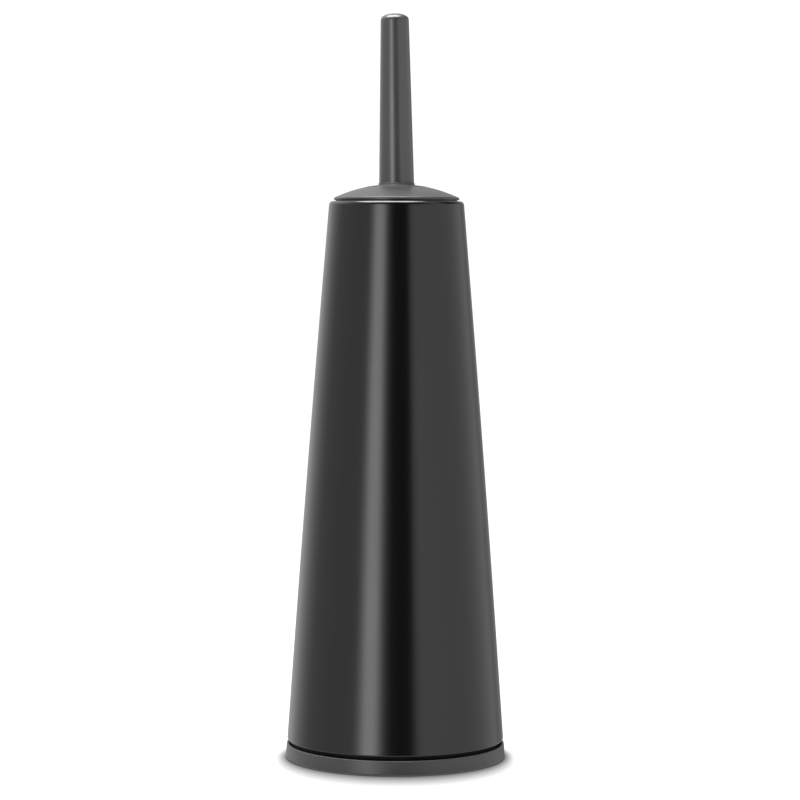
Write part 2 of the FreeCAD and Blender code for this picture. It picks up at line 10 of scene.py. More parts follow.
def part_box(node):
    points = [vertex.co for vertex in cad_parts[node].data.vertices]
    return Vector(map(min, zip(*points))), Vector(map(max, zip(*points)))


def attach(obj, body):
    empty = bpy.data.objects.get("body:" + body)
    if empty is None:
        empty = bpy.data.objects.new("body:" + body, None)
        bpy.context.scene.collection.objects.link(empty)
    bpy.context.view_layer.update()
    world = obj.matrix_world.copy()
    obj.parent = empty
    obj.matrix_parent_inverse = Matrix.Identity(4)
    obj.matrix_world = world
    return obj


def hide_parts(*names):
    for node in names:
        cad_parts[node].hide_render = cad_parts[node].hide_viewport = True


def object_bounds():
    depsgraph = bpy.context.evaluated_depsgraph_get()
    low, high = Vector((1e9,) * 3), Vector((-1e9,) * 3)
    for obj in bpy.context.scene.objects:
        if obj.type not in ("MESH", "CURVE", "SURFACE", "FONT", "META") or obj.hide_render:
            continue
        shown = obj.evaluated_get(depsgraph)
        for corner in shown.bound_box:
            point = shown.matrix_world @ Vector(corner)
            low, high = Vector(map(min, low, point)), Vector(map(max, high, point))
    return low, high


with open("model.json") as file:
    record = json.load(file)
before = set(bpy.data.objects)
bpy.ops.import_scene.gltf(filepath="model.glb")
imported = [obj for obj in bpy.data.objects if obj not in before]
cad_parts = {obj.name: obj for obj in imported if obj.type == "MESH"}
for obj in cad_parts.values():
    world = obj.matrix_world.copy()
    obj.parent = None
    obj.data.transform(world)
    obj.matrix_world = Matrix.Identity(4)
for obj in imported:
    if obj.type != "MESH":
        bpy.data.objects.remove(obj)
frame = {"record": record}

MM = 0.001
FINE = 224        # segments round a large turned piece
MEDIUM = 96       # segments round a small one
SOFT_EDGE = 0.15 * MM   # rounding of an edge that has no rounding of its own
ARC_STEP = math.radians(12)

cad_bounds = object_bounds()


def add_object(name, mesh):
    """Turns a finished bmesh into an object in the scene."""
    data = bpy.data.meshes.new(name)
    mesh.to_mesh(data)
    mesh.free()
    made = bpy.data.objects.new(name, data)
    bpy.context.scene.collection.objects.link(made)
    return made


# ---------------------------------------------------------------- turned pieces

def corner_arc(before, corner, after, radius):
    """Points that round a corner of an outline, with one support point beyond each end."""
    to_before = before - corner
    to_after = after - corner
    room = min(to_before.length, to_after.length)
    to_before.normalize()
    to_after.normalize()
    half = to_before.angle(to_after) / 2
    if not radius or half > math.pi / 2 - 0.01:
        return [corner]
    radius = min(radius, 0.42 * room * math.tan(half))
    reach = radius / math.tan(half)
    bisector = (to_before + to_after).normalized()
    centre = corner + bisector * (radius / math.sin(half))
    start = corner + to_before * reach
    end = corner + to_after * reach
    turn = math.pi - 2 * half
    steps = max(2, math.ceil(turn / ARC_STEP))
    spoke = start - centre
    sign = 1 if spoke.cross(end - centre) > 0 else -1
    points = []
    for number in range(steps + 1):
        angle = sign * turn * number / steps
        cos, sin = math.cos(angle), math.sin(angle)
        points.append(centre + Vector((spoke.x * cos - spoke.y * sin, spoke.x * sin + spoke.y * cos)))
    lead = min(0.35 * MM, 0.07 * room)
    return [start + to_before * lead] + points + [end + to_after * lead]


def rounded_outline(corners):
    """Outline points from corners (radius, height) or (radius, height, rounding). A corner on the
    axis stays as it is."""
    places = [Vector(corner[:2]) for corner in corners]
    count = len(places)
    points = []
    for number, corner in enumerate(corners):
        place = places[number]
        if place.x < 1e-7:
            points.append(place)
            continue
        rounding = corner[2] if len(corner) > 2 else SOFT_EDGE
        before, after = places[number - 1], places[(number + 1) % count]
        points += corner_arc(before, place, after, rounding)
    return points


def arc_points(start, end, radius, steps):
    """Points strictly between start and end on an arc that bulges upwards and outwards."""
    start, end = Vector(start), Vector(end)
    chord = end - start
    middle = (start + end) / 2
    normal = Vector((chord.y, -chord.x)).normalized()
    if normal.y < 0:
        normal = -normal
    centre = middle - normal * math.sqrt(radius**2 - (chord.length / 2) ** 2)
    first = (start - centre).angle_signed(end - centre)
    points = []
    for number in range(1, steps):
        angle = -first * number / steps
        spoke = start - centre
        cos, sin = math.cos(angle), math.sin(angle)
        points.append(
            (centre.x + spoke.x * cos - spoke.y * sin, centre.y + spoke.x * sin + spoke.y * cos, 0.0)
        )
    return points


def between(start, end, courses):
    """Outline points evenly spaced strictly between start and end, with no rounding."""
    start, end = Vector(start), Vector(end)
    return [(*start.lerp(end, number / courses), 0) for number in range(1, courses)]


def turned(name, corners, segments=MEDIUM, move=None, angles=None):
    """A closed piece turned about Z from an outline that is closed, or that starts and ends on the
    axis. move(point, angle) may shift each point."""
    outline = rounded_outline(corners)
    angles = angles or [2 * math.pi * number / segments for number in range(segments)]
    mesh = bmesh.new()
    rings = []
    for place in outline:
        if place.x < 1e-7:
            point = Vector((0, 0, place.y))
            rings.append([mesh.verts.new(move(point, 0) if move else point)] * len(angles))
            continue
        ring = []
        for angle in angles:
            point = Vector((place.x * math.cos(angle), place.x * math.sin(angle), place.y))
            ring.append(mesh.verts.new(move(point, angle) if move else point))
        rings.append(ring)
    on_axis = outline[0].x < 1e-7 and outline[-1].x < 1e-7
    last = len(rings) - 1 if on_axis else len(rings)
    for number in range(last):
        low, high = rings[number], rings[(number + 1) % len(rings)]
        for side in range(len(angles)):
            following = (side + 1) % len(angles)
            face = []
            for vert in (low[side], low[following], high[following], high[side]):
                if vert not in face:
                    face.append(vert)
            if len(face) > 2:
                mesh.faces.new(face)
    bmesh.ops.recalc_face_normals(mesh, faces=mesh.faces)
    piece = add_object(name, mesh)
    piece.data.shade_smooth()
    return piece


def settle(piece, node, material):
    """Gives a finished piece its material and slot, and lets it stand for its CAD node."""
    piece.data.materials.clear()
    piece.data.materials.append(material)
    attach(piece, body_of(node))
    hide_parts(node)
    return piece


def body_of(node):
    bodies = frame["record"]["behaviour"]["bodies"]
    return next(body for body, nodes in bodies.items() if node in nodes)


def span(node):
    """A node's lowest and highest Z and its outer radius across X."""
    low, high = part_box(node)
    return low.z, high.z, (high.x - low.x) / 2


def apply_modifier(piece, kind, **settings):
    """Gives a piece the mesh that one modifier makes of it."""
    modifier = piece.modifiers.new(kind.title(), kind)
    for key, value in settings.items():
        setattr(modifier, key, value)
    graph = bpy.context.evaluated_depsgraph_get()
    data = bpy.data.meshes.new_from_object(piece.evaluated_get(graph))
    piece.modifiers.clear()
    piece.data = data


def boolean(piece, cutter, operation):
    """Joins or cuts a piece with another one, which is then removed. Edges turned by more than
    sharp_angle stay sharp."""
    sharp_angle = math.radians(40)
    apply_modifier(piece, "BOOLEAN", object=cutter, operation=operation, solver="EXACT")
    bpy.data.objects.remove(cutter)
    for polygon in piece.data.polygons:
        polygon.use_smooth = True
    piece.data.set_sharp_from_angle(angle=sharp_angle)


def blocks(name, places, half_sizes):
    """Boxes of one half size, each set at a place (radius, height) and an angle round Z."""
    mesh = bmesh.new()
    for radius, height, angle in places:
        made = bmesh.ops.create_cube(mesh, size=2)["verts"]
        matrix = (
            Matrix.Rotation(angle, 4, "Z")
            @ Matrix.Translation((radius, 0, height))
            @ Matrix.Diagonal((*half_sizes, 1))
        )
        bmesh.ops.transform(mesh, matrix=matrix, verts=made)
    return add_object(name, mesh)


# ---------------------------------------------------------------- materials

NOISE_LOW, NOISE_HIGH = 0.3, 0.7    # the span of a noise texture that most of its values lie in


def feed(tree, socket, value):
    """Links a socket to another node's output, or sets it to a plain value."""
    if isinstance(value, bpy.types.NodeSocket):
        tree.links.new(value, socket)
    else:
        socket.default_value = value


def add_node(tree, kind, **inputs):
    made = tree.nodes.new(kind)
    for socket, value in inputs.items():
        feed(tree, made.inputs[socket.replace("_", " ")], value)
    return made


def add_math(tree, operation, *values):
    """The output of a math node."""
    made = tree.nodes.new("ShaderNodeMath")
    made.operation = operation
    for socket, value in zip(made.inputs, values):
        feed(tree, socket, value)
    return made.outputs[0]


class Surface:
    """A node material built round one Principled shader, in object coordinates. A noise factor
    spreads its roughness or colour between two values, and bumps are laid on top of each other."""

    def __init__(self, name, color, roughness, **settings):
        self.material = bpy.data.materials.new(name)
        self.material.use_nodes = True
        self.tree = self.material.node_tree
        self.shader = self.tree.nodes["Principled BSDF"]
        self.shader.inputs["Base Color"].default_value = (*color, 1)
        self.shader.inputs["Roughness"].default_value = roughness
        for socket, value in settings.items():
            self.shader.inputs[socket.replace("_", " ")].default_value = value
        self.place = self.tree.nodes.new("ShaderNodeTexCoord").outputs["Object"]
        self.normal = None

    def node(self, kind, **inputs):
        return add_node(self.tree, kind, **inputs)

    def stretched(self, across, along):
        """Object coordinates scaled across X and Y and along Z."""
        mapping = self.node("ShaderNodeMapping", Vector=self.place, Scale=(across, across, along))
        return mapping.outputs["Vector"]

    def noise(self, scale, detail=3.0, vector=None):
        made = self.node("ShaderNodeTexNoise", Vector=vector or self.place, Scale=scale, Detail=detail)
        return made.outputs["Fac"]

    def vary_roughness(self, factor, low, high):
        spread = self.node(
            "ShaderNodeMapRange",
            Value=factor,
            From_Min=NOISE_LOW,
            From_Max=NOISE_HIGH,
            To_Min=low,
            To_Max=high,
        )
        self.tree.links.new(spread.outputs["Result"], self.shader.inputs["Roughness"])

    def vary_color(self, factor, dark, light):
        ramp = self.tree.nodes.new("ShaderNodeValToRGB")
        ramp.color_ramp.elements[0].position = NOISE_LOW
        ramp.color_ramp.elements[1].position = NOISE_HIGH
        ramp.color_ramp.elements[0].color = (*dark, 1)
        ramp.color_ramp.elements[1].color = (*light, 1)
        self.tree.links.new(factor, ramp.inputs["Fac"])
        self.tree.links.new(ramp.outputs["Color"], self.shader.inputs["Base Color"])

    def bump(self, height, strength, distance):
        made = self.node("ShaderNodeBump", Height=height, Strength=strength, Distance=distance)
        if self.normal:
            self.tree.links.new(self.normal, made.inputs["Normal"])
        self.normal = made.outputs["Normal"]
        self.tree.links.new(self.normal, self.shader.inputs["Normal"])


def gray(value, warmth=0.0):
    """A gray, a little redder and less blue where warmth is above 0."""
    return (value * (1 + warmth), value, value * (1 - warmth))


def powder_coat():
    """Satin black coat on steel: a faint orange peel, and a slow drift in gloss and tone."""
    coat = Surface("powder_coat", gray(0.0022), 0.19)
    peel = coat.noise(520, 2)
    fine = coat.noise(2600, 2)
    drift = coat.noise(14, 3)
    coat.vary_roughness(drift, 0.175, 0.205)
    coat.vary_color(fine, gray(0.0019), gray(0.0026))
    coat.bump(peel, 0.08, 0.05 * MM)
    coat.bump(fine, 0.05, 0.02 * MM)
    return coat.material


def moulded(name, tone, low, high, grain=3200, strength=0.22, gloss=0.5):
    """Moulded plastic with a fine eroded texture, uneven gloss and slight flow marks."""
    plastic = Surface(name, gray(tone), (low + high) / 2, Specular_IOR_Level=gloss)
    texture = plastic.noise(grain, 4)
    speckle = plastic.node("ShaderNodeTexVoronoi", Vector=plastic.place, Scale=grain * 0.6)
    drift = plastic.noise(30, 4)
    flow = plastic.noise(60, 2, plastic.stretched(1.0, 0.25))
    plastic.vary_roughness(drift, low, high)
    plastic.vary_color(flow, gray(tone * 0.93), gray(tone * 1.07))
    plastic.bump(texture, strength, 0.03 * MM)
    plastic.bump(speckle.outputs["Distance"], strength * 0.6, 0.02 * MM)
    return plastic.material


def rubber():
    """Soft rubber: dull, with a dusty bloom in patches and a pitted skin."""
    soft = Surface("soft_rubber", gray(0.02), 0.75)
    bloom = soft.noise(70, 5)
    pits = soft.noise(1900, 4)
    soft.vary_roughness(bloom, 0.66, 0.86)
    soft.vary_color(bloom, gray(0.017), gray(0.032))
    soft.bump(pits, 0.35, 0.05 * MM)
    return soft.material


def brushed_steel():
    """Drawn stainless tube: fine lines along its length and a soft cloudiness."""
    steel = Surface("brushed_steel", gray(0.56, 0.01), 0.3, Metallic=1.0)
    lines = steel.noise(900, 3, steel.stretched(4.0, 0.035))
    clouds = steel.noise(45, 3)
    steel.vary_roughness(lines, 0.22, 0.42)
    steel.vary_color(clouds, gray(0.5, 0.01), gray(0.62, 0.012))
    steel.bump(lines, 0.25, 0.02 * MM)
    return steel.material


def nylon():
    """Stiff nylon filament, with streaks along each one."""
    filament = Surface("bristle_nylon", gray(0.03), 0.38)
    streaks = filament.noise(700, 3)
    filament.vary_roughness(streaks, 0.3, 0.48)
    filament.vary_color(streaks, gray(0.022), gray(0.042))
    filament.bump(streaks, 0.2, 0.03 * MM)
    return filament.material


COAT = powder_coat()
LID_PLASTIC = moulded("lid_plastic", 0.032, 0.33, 0.41)
GRIP_PLASTIC = moulded("grip_plastic", 0.035, 0.28, 0.32, gloss=0.7)
BASE_PLASTIC = moulded("base_plastic", 0.044, 0.36, 0.46)
BUCKET_PLASTIC = moulded("bucket_plastic", 0.045, 0.3, 0.4)
# Black plastic, made far darker and duller than the other plastics so the gap between sleeve and base stays
# black: partly its own colour, partly painted shade. The washer and nut use it too.
BLACK_PLASTIC_GAP_SHADE = moulded("edge_plastic", 0.004, 0.55, 0.7, gloss=0.1)
HEAD_PLASTIC = moulded("head_plastic", 0.022, 0.34, 0.46)
RUBBER = rubber()
STEEL = brushed_steel()
NYLON = nylon()


# ---------------------------------------------------------------- sizes that several pieces share

LEDGE_RADIUS = 59.2 * MM
FLANGE_INNER = 57.6 * MM
CONE_FOOT_RADIUS = 62.2 * MM
CONE_TOP_RADIUS = 38.4 * MM
CONE_WALL = 0.8 * MM
EDGE_SKIRT = 2.0 * MM
SHOULDER_BEND = 3.0 * MM
FOOT_BEND = 1.2 * MM
MOUTH_RADIUS = 33.2 * MM
BUCKET_RIM = 1.6 * MM
BUCKET_DRAFT = 3.3 * MM
SPIGOT_RADIUS = 7.5 * MM
SPIGOT_BOTTOM, BEAD_TOP, _ = span("grip_flange")
FLANGE_BOTTOM = SPIGOT_BOTTOM + 26.0 * MM
ROD_RADIUS = 5.0 * MM
ROD_BORE = 5.05 * MM
ROD_WALL = 1.2 * MM
PIN_RADIUS = 1.5 * MM
STUD_RADIUS = 4.0 * MM
FIT = 0.05 * MM           # between pieces that stay fixed to each other
THREAD_GAP = 0.2 * MM     # round the stud


# ---------------------------------------------------------------- base

def make_base():
    bottom, top, foot_radius = span("base_foot")
    pad_bottom, pad_top, pad_radius = span("non_slip_ring")
    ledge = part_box("cone_edge_ring")[0].z + EDGE_SKIRT
    pad_width = 6.0 * MM
    rim_flare = 0.7 * MM
    rim_height = 8.6 * MM
    rim_wall = 1.6 * MM
    plate_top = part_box("bucket")[0].z
    wall_edge = 0.7 * MM
    bucket_foot = span("bucket")[2] - BUCKET_RIM - BUCKET_DRAFT
    lift_gap = 0.4 * MM
    collar_wall = 2.0 * MM
    collar_height = 6.0 * MM
    locating_wall = 2.2 * MM
    locating_radius = LEDGE_RADIUS - 3.4 * MM
    locating_inner = locating_radius - locating_wall
    foot_corner = foot_radius + 0.03 * MM    # before rounding, which takes the excess off
    rim_radius = foot_corner - rim_flare
    rim_inner = rim_radius - rim_wall
    pocket = bucket_foot + lift_gap
    base = turned("base_foot_look", [
        (0, bottom),
        (pad_radius - pad_width, bottom),
        (pad_radius - pad_width, pad_top),
        (pad_radius, pad_top),
        (pad_radius, bottom),
        (foot_corner, bottom, wall_edge),
        (rim_radius, rim_height, wall_edge),
        (rim_inner, rim_height, wall_edge),
        (rim_inner, plate_top),
        (LEDGE_RADIUS, plate_top),
        (LEDGE_RADIUS, ledge),
        (locating_radius, ledge),
        (locating_radius, top, wall_edge),
        (locating_inner, top, wall_edge),
        (locating_inner, plate_top),
        (pocket + collar_wall, plate_top),
        (pocket + collar_wall, plate_top + collar_height, wall_edge),
        (pocket, plate_top + collar_height, wall_edge),
        (pocket, plate_top),
        (0, plate_top),
    ], FINE)
    rib_count = 24
    rib_half_width = 0.6 * MM
    rib_half_height = 1.5 * MM
    rib_root = 0.3 * MM
    middle = (LEDGE_RADIUS + rim_inner) / 2
    turns = [2 * math.pi * number / rib_count for number in range(rib_count)]
    rib_height = plate_top + rib_half_height - rib_root
    ribs = blocks(
        "base_ribs",
        [(middle, rib_height, turn) for turn in turns],
        ((rim_inner - LEDGE_RADIUS) / 2 + rib_root, rib_half_width, rib_half_height + rib_root),
    )
    boolean(base, ribs, "UNION")
    settle(base, "base_foot", BASE_PLASTIC)

    tread = 0.4 * MM
    ring = turned("non_slip_ring_look", [
        (pad_radius - pad_width, pad_bottom, tread),
        (pad_radius - pad_width * 0.62, pad_bottom, tread),
        (pad_radius - pad_width * 0.56, pad_bottom + tread, tread),
        (pad_radius - pad_width * 0.44, pad_bottom + tread, tread),
        (pad_radius - pad_width * 0.38, pad_bottom, tread),
        (pad_radius, pad_bottom, tread),
        (pad_radius, pad_top),
        (pad_radius - pad_width, pad_top),
    ], FINE)
    settle(ring, "non_slip_ring", RUBBER)


# ---------------------------------------------------------------- sleeve

def make_sleeve():
    foot, top, _ = span("outer_cone")
    slope = (CONE_FOOT_RADIUS - CONE_TOP_RADIUS) / (top - foot)
    foot_inside = CONE_FOOT_RADIUS - CONE_WALL * (1 + slope)
    top_inside = CONE_TOP_RADIUS - CONE_WALL * (1 - slope)
    lip = 3.0 * MM
    hem = CONE_WALL * 0.45
    seam_half_width = 0.9 * MM
    seam_depth = 0.12 * MM
    bow = 0.6 * MM
    courses = 24

    def sheet(point, angle):
        """The side swells a little between its ends. A dressed weld runs down the back: a shallow
        groove, coated over."""
        along = (point.z - foot) / (top - foot)
        if point.xy.length > FLANGE_INNER * (1 - along) + MOUTH_RADIUS * along + CONE_WALL:
            swell = 1 + bow * math.sin(math.pi * along) / point.xy.length
            point = Vector((point.x * swell, point.y * swell, point.z))
        side = point.xy.length * (angle - math.pi / 2)
        if abs(side) > seam_half_width or not foot + FOOT_BEND < point.z < top - SHOULDER_BEND:
            return point
        depth = seam_depth * (1 + math.cos(math.pi * side / seam_half_width)) / 2
        sink = 1 - depth / point.xy.length
        return Vector((point.x * sink, point.y * sink, point.z))

    angles = [2 * math.pi * number / FINE for number in range(FINE)]
    step = 2 * math.pi / FINE
    seam_splits = 12    # finer steps on both sides of the seam
    finer = [number for number in range(1 - seam_splits, seam_splits) if number]
    angles += [math.pi / 2 + step * number / seam_splits for number in finer]
    cone = turned("outer_cone_look", [
        (FLANGE_INNER, foot, hem),
        (CONE_FOOT_RADIUS, foot, FOOT_BEND),
        *between((CONE_FOOT_RADIUS, foot), (CONE_TOP_RADIUS, top), courses),
        (CONE_TOP_RADIUS, top, SHOULDER_BEND),
        (MOUTH_RADIUS, top, CONE_WALL),
        (MOUTH_RADIUS, top - lip, hem),
        (MOUTH_RADIUS + CONE_WALL, top - lip, hem),
        (MOUTH_RADIUS + CONE_WALL, top - CONE_WALL, hem),
        (top_inside, top - CONE_WALL, SHOULDER_BEND - CONE_WALL),
        *between((top_inside, top - CONE_WALL), (foot_inside, foot + CONE_WALL), courses),
        (foot_inside, foot + CONE_WALL, FOOT_BEND - CONE_WALL),
        (FLANGE_INNER, foot + CONE_WALL, hem),
    ], move=sheet, angles=sorted(angles))
    settle(cone, "outer_cone", COAT)

    ring_bottom, ring_top, outer = span("cone_edge_ring")
    inner = FLANGE_INNER - 1.4 * MM
    skirt_inner = LEDGE_RADIUS + 0.4 * MM
    hook_under = foot + CONE_WALL + FIT
    hook = 0.8 * MM
    bead = 0.3 * MM
    bead_height = ring_bottom + EDGE_SKIRT
    ring = turned("cone_edge_ring_look", [
        (inner, ring_bottom + EDGE_SKIRT),
        (skirt_inner, ring_bottom + EDGE_SKIRT),
        (skirt_inner, ring_bottom),
        (outer - bead, ring_bottom, 0.3 * MM),
        (outer - bead, bead_height - bead),
        (outer, bead_height, 0.1 * MM),
        (outer - bead, bead_height + bead),
        (outer - bead, foot, 0.2 * MM),
        (FLANGE_INNER - FIT, foot, 0),
        (FLANGE_INNER - FIT, hook_under, 0),
        (FLANGE_INNER + hook, hook_under),
        (FLANGE_INNER - FIT, ring_top),
        (inner, ring_top),
    ], FINE)
    settle(ring, "cone_edge_ring", BLACK_PLASTIC_GAP_SHADE)


# ---------------------------------------------------------------- bucket

def make_bucket():
    bottom, top, rim_radius = span("bucket")
    wall = 1.8 * MM
    top_radius = rim_radius - BUCKET_RIM
    foot_radius = top_radius - BUCKET_DRAFT
    raised = bottom + 1.5 * MM
    foot_inner = foot_radius - 5.0 * MM
    bucket = turned("bucket_look", [
        (0, raised),
        (foot_inner, raised),
        (foot_inner, bottom),
        (foot_radius, bottom, wall / 2),
        (top_radius, top - wall),
        (rim_radius, top - wall, wall / 3),
        (rim_radius, top, wall / 3),
        (top_radius - wall, top, wall / 3),
        (foot_radius - wall, raised + wall, wall * 2),
        (0, raised + wall),
    ], FINE)
    settle(bucket, "bucket", BUCKET_PLASTIC)


# ---------------------------------------------------------------- lid

def make_lid():
    skirt_bottom, recess_top, radius = span("lid")
    sleeve_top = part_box("outer_cone")[1].z
    dome_radius = 84.0 * MM
    wall = 1.9 * MM
    edge_gap = 0.6 * MM
    edge_height = 1.3 * MM
    lid_edge = sleeve_top + edge_gap
    dome_foot = lid_edge + edge_height
    recess_radius = 17.25 * MM
    recess_floor = FLANGE_BOTTOM - 0.1 * MM
    seat = radius - 1.2 * MM
    skirt = MOUTH_RADIUS - 0.4 * MM
    taper = 0.7 * MM
    bore = 7.8 * MM
    hub_radius = 12.0 * MM
    hub_bottom = recess_floor - wall - 2.9 * MM
    centre = dome_foot - math.sqrt(dome_radius**2 - radius**2)
    under_dome = centre + math.sqrt((dome_radius - wall) ** 2 - (skirt - wall) ** 2)
    dome = arc_points((radius, dome_foot), (recess_radius, recess_top), dome_radius, 10)
    lid = turned("lid_look", [
        (bore, hub_bottom),
        (hub_radius, hub_bottom),
        (hub_radius, recess_floor - wall),
        (recess_radius + wall, recess_floor - wall),
        (skirt - wall, under_dome),
        (skirt - wall - taper, skirt_bottom),
        (skirt - taper, skirt_bottom, 0.4 * MM),
        (skirt, sleeve_top),
        (seat, sleeve_top),
        (seat, lid_edge),
        (radius, lid_edge, 0.25 * MM),
        (radius, dome_foot, 1.2 * MM),
        *dome,
        (recess_radius, recess_top, 0.2 * MM),
        (recess_radius, recess_floor),
        (bore, recess_floor),
    ], FINE)
    settle(lid, "lid", LID_PLASTIC)


# ---------------------------------------------------------------- grip

FLANGE_RADIUS = 17.0 * MM
BEAD_RADIUS = 10.4 * MM
BEAD_HEIGHT = 1.1 * MM
GRIP_LEAN = math.radians(0.8)
GRIP_LENGTH = 96.1 * MM
GRIP_FOOT_RADIUS = 10.0 * MM
GRIP_TOP_RADIUS = 8.05 * MM
GRIP_CAP = 3.9 * MM


def pin_cutter(height):
    """A round bar along Y at a height, longer than anything it is to pass through."""
    reach = 12 * MM
    bar = turned("pin_cutter", [(0, -reach), (PIN_RADIUS, -reach), (PIN_RADIUS, reach), (0, reach)], 32)
    bar.data.transform(Matrix.Translation((0, 0, height)) @ Matrix.Rotation(math.pi / 2, 4, "X"))
    return bar


def pin_height():
    low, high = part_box("rod_pin")
    return (low.z + high.z) / 2


def make_grip():
    edge_top = FLANGE_BOTTOM + 2.2 * MM
    bead_bottom = BEAD_TOP - BEAD_HEIGHT
    flange = turned("grip_flange_look", [
        (ROD_BORE, SPIGOT_BOTTOM),
        (SPIGOT_RADIUS, SPIGOT_BOTTOM, 0.4 * MM),
        (SPIGOT_RADIUS, FLANGE_BOTTOM),
        (FLANGE_RADIUS, FLANGE_BOTTOM),
        (FLANGE_RADIUS, edge_top, 0.3 * MM),
        (BEAD_RADIUS, bead_bottom, 0.3 * MM),
        (BEAD_RADIUS, BEAD_TOP, 0.5 * MM),
        (ROD_BORE, BEAD_TOP),
    ], FINE // 2)
    boolean(flange, pin_cutter(pin_height()), "DIFFERENCE")
    settle(flange, "grip_flange", LID_PLASTIC)

    socket_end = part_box("brush_rod")[1].z + FIT
    cap_foot = GRIP_LENGTH - GRIP_CAP
    side_slope = (GRIP_FOOT_RADIUS - GRIP_TOP_RADIUS) / cap_foot
    foot_rise = 4 * MM
    side_foot = (GRIP_FOOT_RADIUS - side_slope * foot_rise, BEAD_TOP + foot_rise)
    side_top = (GRIP_TOP_RADIUS, BEAD_TOP + cap_foot)
    courses = 30

    def lean(point, _):
        """Outer skin leans with the grip. The socket and the foot stay square to the rod."""
        if point.xy.length < ROD_BORE + 0.001 * MM and point.z < socket_end + 0.001 * MM:
            return point
        height = max(point.z - BEAD_TOP, 0)
        cos, sin = math.cos(GRIP_LEAN), math.sin(GRIP_LEAN)
        tilt = point.x * sin * min(height / (2 * MM), 1)
        return Vector((point.x * cos - height * sin, point.y, BEAD_TOP + height * cos + tilt))

    cap = []
    cap_steps = 14
    fullness = 2 / 2.3
    for number in range(1, cap_steps):
        angle = math.pi / 2 * number / cap_steps
        reach = GRIP_TOP_RADIUS * math.cos(angle) ** fullness
        cap.append((reach, BEAD_TOP + cap_foot + GRIP_CAP * math.sin(angle) ** fullness, 0))
    grip = turned("grip_look", [
        (ROD_BORE, BEAD_TOP),
        (GRIP_FOOT_RADIUS, BEAD_TOP, 0.25 * MM),
        (*side_foot, 0),
        *between(side_foot, side_top, courses),
        (*side_top, 0),
        *cap,
        (0, BEAD_TOP + GRIP_LENGTH),
        (0, socket_end),
        (ROD_BORE, socket_end),
    ], MEDIUM, move=lean)
    settle(grip, "grip", GRIP_PLASTIC)


# ---------------------------------------------------------------- under the lid

def make_washer():
    bottom, top, radius = span("slip_washer")
    inner = SPIGOT_RADIUS + FIT
    washer = turned("slip_washer_look", [
        (inner, bottom),
        (radius, bottom, 0.2 * MM),
        (radius, top, 0.2 * MM),
        (inner, top),
    ], MEDIUM)
    settle(washer, "slip_washer", BLACK_PLASTIC_GAP_SHADE)


def make_nut():
    bottom, top, radius = span("retaining_nut")
    inner = SPIGOT_RADIUS + FIT
    nut = turned("retaining_nut_look", [
        (inner, bottom, 0.4 * MM),
        (radius, bottom, 0.8 * MM),
        (radius, top, 0.3 * MM),
        (inner, top),
    ], MEDIUM)
    notch_count = 6
    notch_half_width = 1.5 * MM
    notch_depth = 1.6 * MM
    notch_half_height = (top - bottom) / 4
    turns = [2 * math.pi * number / notch_count for number in range(notch_count)]
    cutters = blocks(
        "nut_notches",
        [(radius, bottom, turn) for turn in turns],
        (notch_depth, notch_half_width, notch_half_height * 2),
    )
    boolean(nut, cutters, "DIFFERENCE")
    settle(nut, "retaining_nut", BLACK_PLASTIC_GAP_SHADE)


# ---------------------------------------------------------------- rod and its ends

def make_rod():
    bottom, top, _ = span("brush_rod")
    chamfer = 0.35 * MM
    rod = turned("brush_rod_look", [
        (ROD_RADIUS - ROD_WALL, bottom, chamfer),
        (ROD_RADIUS, bottom, chamfer),
        (ROD_RADIUS, top, chamfer),
        (ROD_RADIUS - ROD_WALL, top, chamfer),
    ], MEDIUM)
    boolean(rod, pin_cutter(pin_height()), "DIFFERENCE")
    settle(rod, "brush_rod", STEEL)

    low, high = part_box("rod_pin")
    half_length = (high.y - low.y) / 2
    radius = (high.x - low.x) / 2
    pin = turned("rod_pin_look", [
        (0, -half_length),
        (radius, -half_length, 0.3 * MM),
        (radius, half_length, 0.3 * MM),
        (0, half_length),
    ], 40)
    pin.data.transform(Matrix.Translation((0, 0, pin_height())) @ Matrix.Rotation(math.pi / 2, 4, "X"))
    settle(pin, "rod_pin", STEEL)


